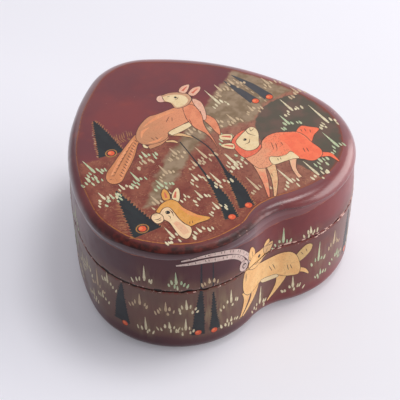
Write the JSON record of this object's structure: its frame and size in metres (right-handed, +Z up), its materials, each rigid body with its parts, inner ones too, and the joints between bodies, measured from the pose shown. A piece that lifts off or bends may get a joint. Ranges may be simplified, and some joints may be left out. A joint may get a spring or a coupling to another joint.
{
  "type": "papier mache trinket box",
  "caption": "Heart-shaped papier mache trinket box with rounded edges and a lift-off lid that fits over an inner collar.",
  "frame": {"origin": "middle of the footprint, on the resting face", "axes": "+Z up through the lid, +Y towards the tip of the heart, -Y towards the hollow between the lobes, +X across the lobes"},
  "size_m": [0.1, 0.097, 0.05],
  "materials": {
    "pulp": "matte",
    "inner_lacquer": "satin",
    "painted_paper": "gloss"
  },
  "bodies": {
    "base": {"base_board": "pulp", "base_wall": "pulp", "collar": "inner_lacquer", "base_paper": "painted_paper"},
    "lid": {"lid_board": "pulp", "lid_wall": "pulp", "lid_side_paper": "painted_paper", "lid_top_paper": "painted_paper"}
  },
  "joints": [
    {"name": "lid_lift", "type": "slide", "parent": "base", "child": "lid", "axis": [0, 0, 1], "range_m": [0, 0.06]}
  ]
}
